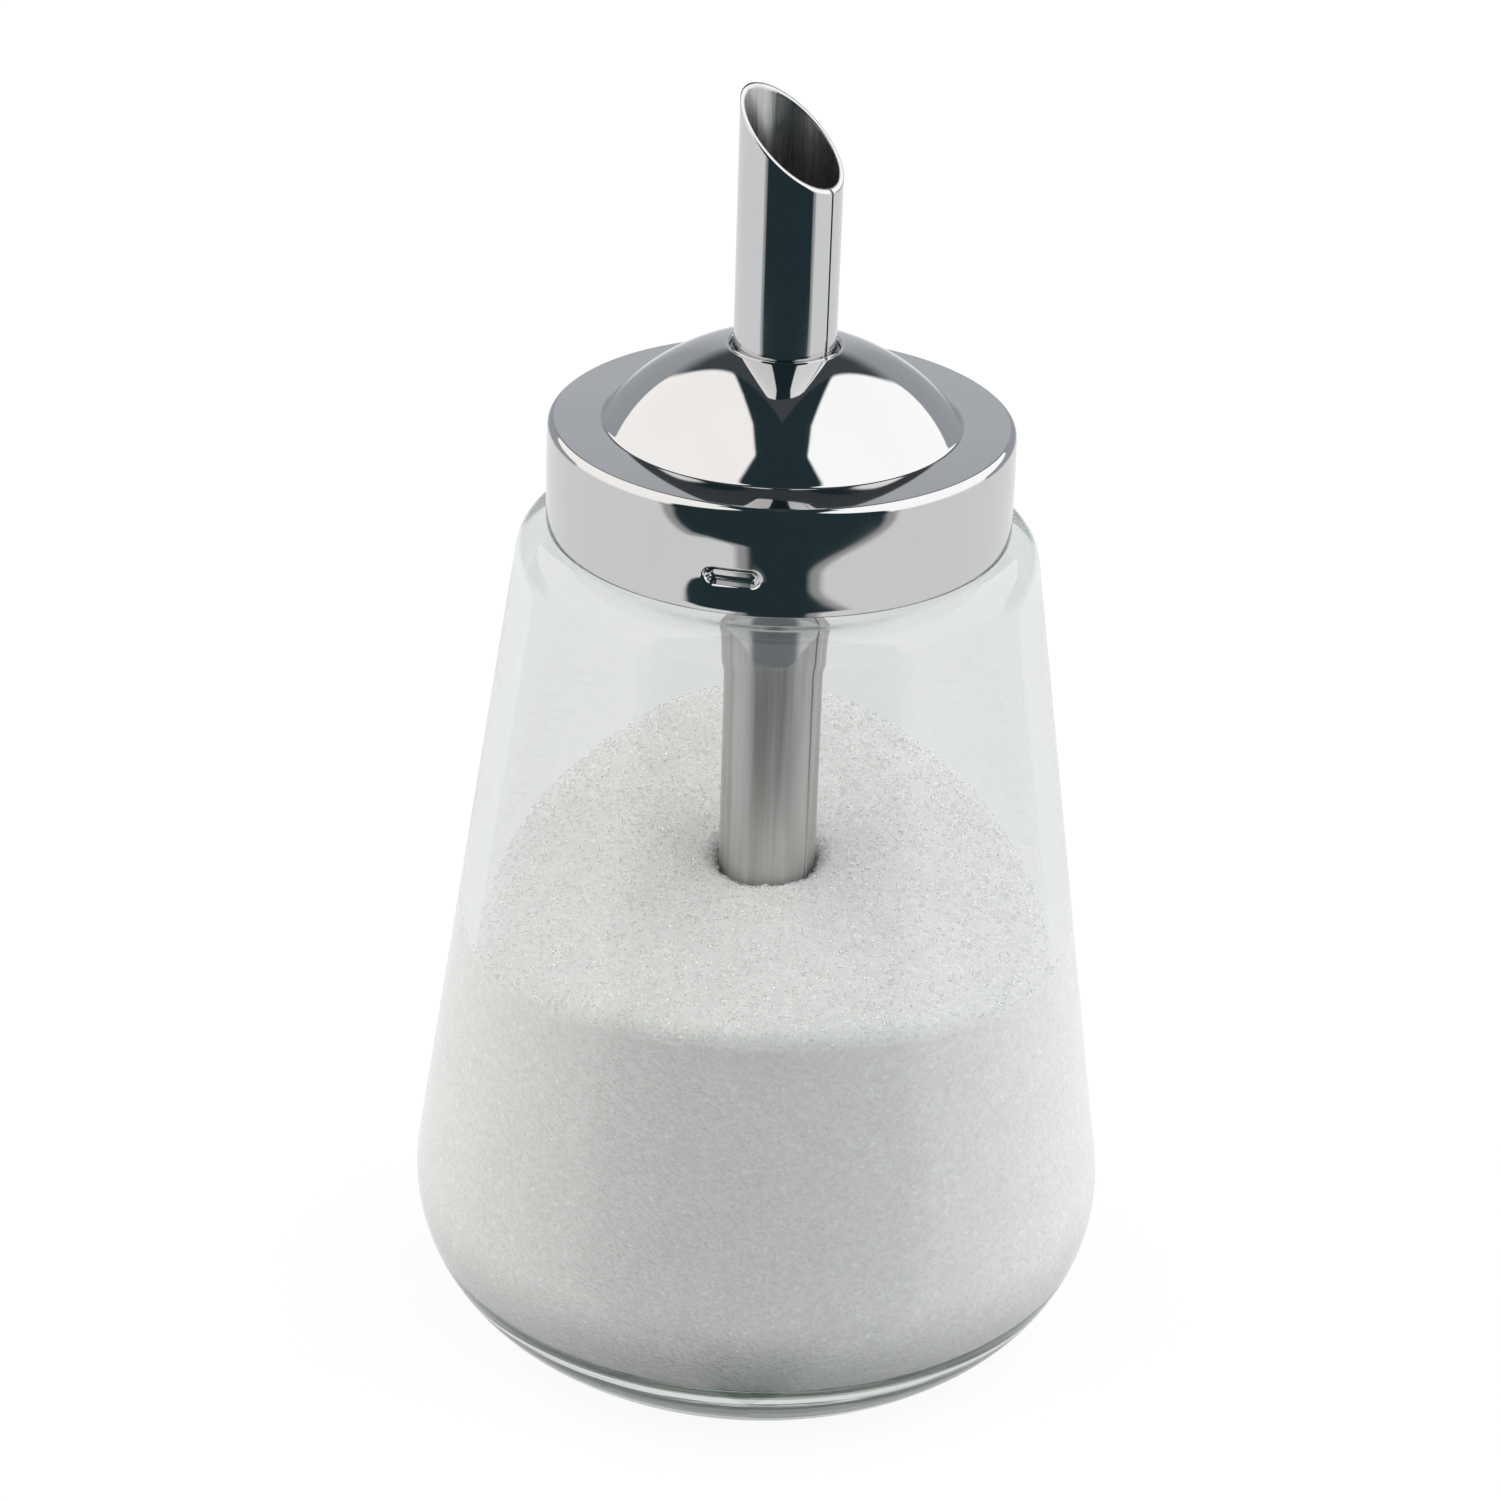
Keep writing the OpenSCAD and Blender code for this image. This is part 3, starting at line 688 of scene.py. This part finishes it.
# dosing_tube: stainless sheet rolled to a tube with an open butt seam, cut on the slant at the
# mouth and swaged out to a bead that holds it under the dome. Polished down to a little below the
# cap, and left brushed farther down and inside.
tube_low, tube_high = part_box("dosing_tube")
foot_h = tube_low.z / mm
bore = tube_r - sheet_t
mouth_tilt, mouth_bearing = radians(40.7), 148
mouth_h = tube_high.z / mm - tube_r * tan(mouth_tilt)
bead_h, bead_r, bead_run_out, bead_fullness = 115.55, 1, 0.25, 0.75
bead_reach, bead_clear = 1.6, 3
slant_from = bead_h + bead_clear
mouth_rows_h = mouth_h - 7
seam_w, seam_bearing = 0.2, -38
seam_half = degrees(seam_w / 2 / tube_r)
seam_to_seam_rows = 161
cut_round, hair = 0.06, 1e-6
rows = list(np.linspace(foot_h, bead_h - bead_clear, 30))
rows += list(np.linspace(bead_h - bead_reach, bead_h + bead_reach, 24))
rows += list(np.linspace(bead_h + 2.2, mouth_rows_h - 1, 18)) + list(np.linspace(mouth_rows_h, mouth_h, 24))


def swell(height):
    """How far the bead pushes the tube's wall out at a height."""
    flat = np.clip(1 - ((height - bead_h) / (bead_r + bead_run_out)) ** 2, 0, 1)
    return bead_r * flat**bead_fullness


outline = [(tube_r - cut_round, foot_h)] + [(tube_r + swell(h), h) for h in rows]
outline += [(tube_r - cut_round, mouth_h), (bore + cut_round, mouth_h)]
outline += [(bore + swell(h), h) for h in rows[::-1]] + [(bore + cut_round, foot_h)]


def slant(radius, height, bearing):
    """Stretches the upper rows so that they end at the slanted mouth, with a broken edge."""
    share = np.clip((height - slant_from) / (mouth_h - slant_from), 0, 1)
    rise = radius * np.cos(np.radians(bearing - mouth_bearing)) * tan(mouth_tilt)
    edge = (radius > tube_r - hair) | (radius < bore + hair)
    return radius, height + rise * share - cut_round * edge * (share > 0.999)


around = np.linspace(seam_bearing + seam_half, seam_bearing + 360 - seam_half, seam_to_seam_rows)
dosing_tube = revolve("dosing_tube_rolled", outline, around, slant, turns_round=False)
inner_skin, inner_matt = ((5.05 * mm) ** 2, (5.2 * mm) ** 2), 0.7
polish_end, polish_bow = (83.8 * mm, 85 * mm), 310
grey_steel, pale_steel = (0.46, 0.455, 0.43, 1), (0.60, 0.60, 0.585, 1)
rolled = bpy.data.materials.new("tube_steel")
dosing_tube.data.materials.append(rolled)
grind = Tree(rolled)
spot = grind.node("TexCoord")["Object"]
part = grind.node("SeparateXYZ", None, {0: spot})
reach = part["X"] * part["X"] + part["Y"] * part["Y"]
inner = grind.step(reach, *inner_skin, 1, 0)
under = grind.step(part["Z"] - part["X"] * part["X"] * polish_bow, *polish_end, 1, 0)
long_way = grind.node("Mapping", None, {"Vector": spot, "Scale": (1, 1, 0.03)})
streak = grind.node("TexNoise", None, {"Vector": long_way, "Scale": 2200, "Detail": 3})
stain = grind.node("TexNoise", None, {"Vector": long_way, "Scale": 1100, "Detail": 2})
smear = grind.node("TexNoise", None, {"Vector": spot, "Scale": 130, "Detail": 3})
raw = under.math("MAXIMUM", inner * inner_matt)
lines = grind.node("Bump", None, {"Strength": raw * 0.15 + 0.02, "Distance": 0.2 * mm, "Height": streak})
bright = grind.mix(smear, dull_steel, bright_steel)
matt = grind.mix(grind.step(stain, noise_low, noise_high), grey_steel, pale_steel)
grind.node("OutputMaterial", None, {0: grind.node("BsdfPrincipled", None, {
    "Base Color": grind.mix(raw, bright, matt), "Metallic": 1.0,
    "Roughness": raw * (streak * 0.30 + 0.20) + grind.step(smear, haze_low, haze_high, 0.03, 0.06),
    "Normal": lines})})
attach(dosing_tube, "cap")
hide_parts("dosing_tube")
